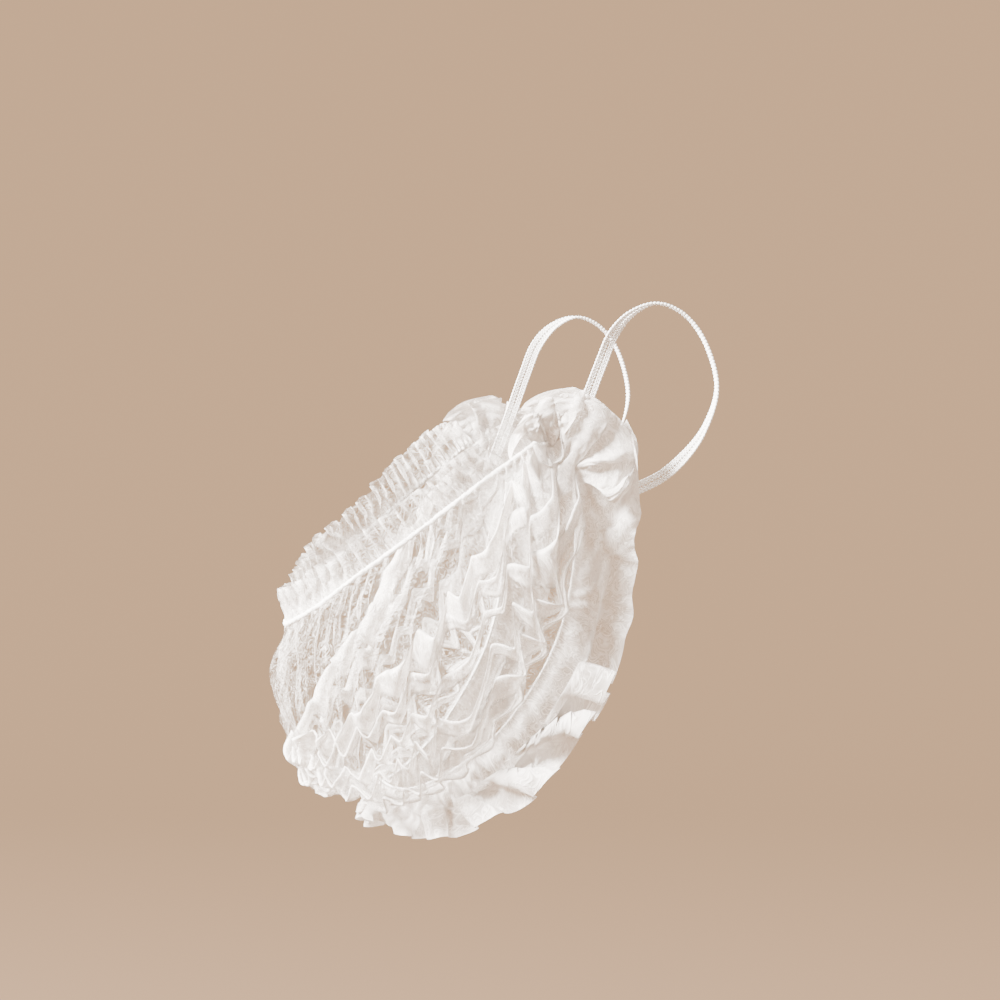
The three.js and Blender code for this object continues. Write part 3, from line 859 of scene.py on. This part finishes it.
def fibre_lines(tree, place, scale, turn, width, stretch):
    """Thin lines where a stretched noise passes its middle value."""
    mapping = tree.nodes.new("ShaderNodeMapping")
    mapping.vector_type = "TEXTURE"
    mapping.inputs["Location"].default_value = (turn, 0.3 * turn, turn)
    mapping.inputs["Rotation"].default_value = (0, 0, turn)
    mapping.inputs["Scale"].default_value = (1.0, stretch, 1.0)
    tree.links.new(place, mapping.inputs["Vector"])
    noise = noise_node(tree, mapping.outputs["Vector"], scale, 1.0, dimensions="2D")["Fac"]
    away = math_node(tree, "ABSOLUTE", math_node(tree, "SUBTRACT", noise, 0.5))
    return math_node(tree, "SUBTRACT", 1.0, math_node(tree, "DIVIDE", away, width), clamp=True)


print("helpers ready")

# %% [markdown]
# The fibres are laid out in the cloth's own flat measure, so they keep their size
# in every fold, and one noise bends them all into curls. Bundles are the wider
# lines and single fibres the finer ones between them.

# %% The web of fibres
CURL_SCALE, CURL_REACH = 380.0, 0.0060
STRETCH = 3.0  # of the noise along the fibres
# each row: scale, turn and width of the lines
BUNDLES = [(430.0, 0.3, 0.036), (480.0, 1.3, 0.038), (540.0, 2.4, 0.038)]
FIBRES = [(760.0, 0.8, 0.055), (860.0, 2.0, 0.055)]

nonwoven, tree = node_material("spunbond_nonwoven")
coordinates = tree.nodes.new("ShaderNodeTexCoord")
curls = noise_node(tree, coordinates.outputs["UV"], CURL_SCALE, 0.0, dimensions="2D")
curled = tree.nodes.new("ShaderNodeVectorMath")
curled.operation = "MULTIPLY_ADD"
curled.inputs[1].default_value = (CURL_REACH, CURL_REACH, 0)
tree.links.new(curls["Color"], curled.inputs[0])
tree.links.new(coordinates.outputs["UV"], curled.inputs[2])


def web_of(rows):
    """All the lines of some rows together, and those of the first row alone."""
    lines = [fibre_lines(tree, curled.outputs["Vector"], *row, STRETCH) for row in rows]
    together = lines[0]
    for line in lines[1:]:
        together = math_node(tree, "MAXIMUM", together, line)
    return together, lines[0]


bundles, first_bundles = web_of(BUNDLES)
fibres, _ = web_of(FIBRES)
print("families of fibres:", len(BUNDLES) + len(FIBRES))

# %% [markdown]
# The cover adds up. It starts below nothing, so the gaps between the fibres are
# clear. A cloudy noise, the bundles and the finer fibres add to it, and it closes
# where layers lie on each other or a crease presses the fibres together.

# %% How much the cloth covers
CLOUD_SCALE = 110.0
GAPS, CLOUD_COVER = -0.32, 0.32
BUNDLE_COVER, FIBRE_COVER = 0.42, 0.22
LAYER_COVER, CREASE_COVER = 0.50, 0.75

cloud = noise_node(tree, coordinates.outputs["Object"], CLOUD_SCALE, 1.0)["Fac"]
cover = math_node(tree, "ADD", GAPS, math_node(tree, "MULTIPLY", cloud, CLOUD_COVER))
for value, share in ((bundles, BUNDLE_COVER), (fibres, FIBRE_COVER),
                     (point_value(tree, "layered"), LAYER_COVER)):
    cover = math_node(tree, "ADD", cover, math_node(tree, "MULTIPLY", value, share))
pressed = math_node(tree, "MULTIPLY", point_value(tree, "crease"), CREASE_COVER)
cover = math_node(tree, "ADD", cover, pressed, clamp=True)
print("cover of a clear gap:", GAPS)

# %% [markdown]
# The fibres themselves are matt and white, a little warmer and darker between the
# bundles. Part of the light goes through them, and the bundles stand up slightly.

# %% The fibres' surface
DENSE_WHITE, THIN_WHITE = (0.93, 0.905, 0.88, 1), (0.80, 0.76, 0.73, 1)
LIGHT_THROUGH, THROUGH_COLOUR = 0.22, (0.84, 0.79, 0.745, 1)

density = math_node(tree, "MULTIPLY_ADD", bundles, 0.5, math_node(tree, "MULTIPLY", cloud, 0.6))
face = matt_shader(tree, 0.78, 0.25, 0.15)
tree.links.new(colour_ramp(tree, density, (0.10, THIN_WHITE), (0.80, DENSE_WHITE)),
               face.inputs["Base Color"])
tree.links.new(bump_node(tree, first_bundles, 0.5, 0.00035), face.inputs["Normal"])
through = tree.nodes.new("ShaderNodeBsdfTranslucent")
through.inputs["Color"].default_value = THROUGH_COLOUR
gaps = tree.nodes.new("ShaderNodeBsdfTransparent")
show(tree, mix_shaders(tree, cover, gaps, mix_shaders(tree, LIGHT_THROUGH, face, through)))
sheet.data.materials.append(nonwoven)
print(nonwoven.name, "nodes:", len(tree.nodes))

# %% [markdown]
# ## Covered and knitted elastic
# Both elastics are white polyester yarn. The strand's wrapping is fluffy, and the
# knitted band shows single yarns with a little shade between them.

# %% Elastics
def yarn_material(name, colour, scale, depth, sheen):
    """White yarn, darker by a fifth where its hairs part."""
    material, tree = node_material(name)
    place = tree.nodes.new("ShaderNodeTexCoord").outputs["Object"]
    hairs = noise_node(tree, place, scale, 4.0, 1.2)["Fac"]
    shader = matt_shader(tree, 0.82, 0.3, sheen, 0.45)
    shaded = tuple(0.80 * c for c in colour) + (1,)
    tree.links.new(colour_ramp(tree, hairs, (0.30, shaded), (0.68, colour + (1,))),
                   shader.inputs["Base Color"])
    tree.links.new(bump_node(tree, hairs, 0.7, depth), shader.inputs["Normal"])
    show(tree, shader)
    return material


wrapped = yarn_material("wrapped_elastic", (0.95, 0.94, 0.925), 1500.0, 0.00030, 0.35)
knitted = yarn_material("knitted_elastic", (0.94, 0.93, 0.915), 2600.0, 0.00012, 0.2)
for piece in (upper_strand, lower_strand):
    piece.data.materials.append(wrapped)
for piece in (left_loop, right_loop):
    piece.data.materials.append(knitted)
print("elastic finishes:", wrapped.name, knitted.name)

# %% [markdown]
# ## What each piece stands for
# Every new piece rides on the net's one body and takes the place of the model's
# own solid.

# %% Riding and replacing
for piece, node, slot in ((sheet, "net_sheet", "nonwoven"),
                          (upper_strand, "upper_elastic", "elastic"),
                          (lower_strand, "lower_elastic", "elastic"),
                          (left_loop, "left_ear_loop", "elastic"),
                          (right_loop, "right_ear_loop", "elastic")):
    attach(piece, "root")
    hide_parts(node)
print("five pieces ride on the net's body")

# %% [markdown]
# ## The studio
# The net hangs in a round room of plain warm paper, whose floor runs up into the
# wall in one curve, so every side has the same quiet backdrop. The room is an open
# cylinder with its lower edge bevelled.

# %% The room
FLOOR = -0.30
ROOM_RADIUS, ROOM_HEIGHT, ROOM_CURVE = 3.0, 3.6, 0.9

bpy.ops.object.select_all(action="DESELECT")
bpy.ops.mesh.primitive_cylinder_add(vertices=128, radius=ROOM_RADIUS, depth=ROOM_HEIGHT,
                                    location=(0, 0, 0))
room = bpy.context.active_object
room.name = "studio_room"
bpy.ops.object.mode_set(mode="EDIT")
bpy.ops.mesh.select_all(action="DESELECT")
bpy.ops.object.mode_set(mode="OBJECT")
for face in room.data.polygons:
    face.select = face.normal.z > 0.5
bpy.ops.object.mode_set(mode="EDIT")
bpy.ops.mesh.delete(type="ONLY_FACE")
bpy.ops.mesh.select_all(action="DESELECT")
bpy.ops.object.mode_set(mode="OBJECT")
for vertex in room.data.vertices:
    vertex.select = vertex.co.z < 0
bpy.ops.object.mode_set(mode="EDIT")
bpy.ops.mesh.bevel(offset=ROOM_CURVE, segments=16)
bpy.ops.mesh.select_all(action="SELECT")
bpy.ops.mesh.normals_make_consistent(inside=True)
bpy.ops.transform.translate(value=(0, 0, FLOOR + ROOM_HEIGHT / 2))
bpy.ops.object.mode_set(mode="OBJECT")
bpy.ops.object.shade_smooth()
print("room faces:", len(room.data.polygons))

# %% [markdown]
# Thin white cloth would be lost before white paper, so the paper has a middle tone.
# It gives off its own even light, which keeps that tone the same from every side.
# That light is left out of the sampling of lights, as it is large and weak.

# %% The paper
paper, tree = node_material("studio_paper")
shader = matt_shader(tree, 0.95, 0.1)
shader.inputs["Base Color"].default_value = (0.040, 0.025, 0.015, 1)
shader.inputs["Emission Color"].default_value = (0.69, 0.425, 0.24, 1)
shader.inputs["Emission Strength"].default_value = 1.0
show(tree, shader)
paper.cycles.emission_sampling = "NONE"
room.data.materials.append(paper)
print("room finish:", paper.name)

# %% [markdown]
# The key light stands high on the camera's left, and a second one, low before the
# front of the net, brightens the chin. Weak ones on the right and behind let the
# frills glow. The camera doesn't see the lights themselves.

# %% Lights
NET_MIDDLE = Vector((0, -0.05, -0.09))
WARM = (1.0, 0.97, 0.93)
away_from_camera = -np.array(towards_camera[:])
right_way = np.array(picture_right[:])


def softbox(name, right, back, up, width, height, power, colour=(1, 1, 1)):
    """A broad light aimed at the net, placed as seen from the camera."""
    data = bpy.data.lights.new(name, "AREA")
    data.shape = "RECTANGLE"
    data.size, data.size_y = width, height
    data.energy = power
    data.color = colour
    light = bpy.data.objects.new(name, data)
    light.visible_camera = False
    bpy.context.scene.collection.objects.link(light)
    light.location = Vector(right_way * right + away_from_camera * back + (0, 0, up))
    light.rotation_euler = (NET_MIDDLE - light.location).to_track_quat("-Z", "Y").to_euler()


softbox("key_softbox", -1.71, -0.94, 1.26, 0.76, 0.76, 760, (1.0, 0.965, 0.92))
softbox("front_softbox", -1.9, 0.25, 0.0, 0.8, 0.8, 210, WARM)
softbox("fill_softbox", 0.9, -1.0, 0.2, 0.7, 0.7, 12, WARM)
softbox("back_softbox", 0.5, 0.7, 0.6, 0.6, 0.5, 6)
world = bpy.data.worlds.new("studio_air")
bpy.context.scene.world = world
world.use_nodes = True
air = world.node_tree.nodes["Background"]
air.inputs["Color"].default_value = (1.0, 0.965, 0.92, 1)
air.inputs["Strength"].default_value = 0.35
print("floor %.0f mm under the loops' tops" % (-FLOOR * 1e3))

# %% [markdown]
# ## The end

# %% The end
print("scene ready")
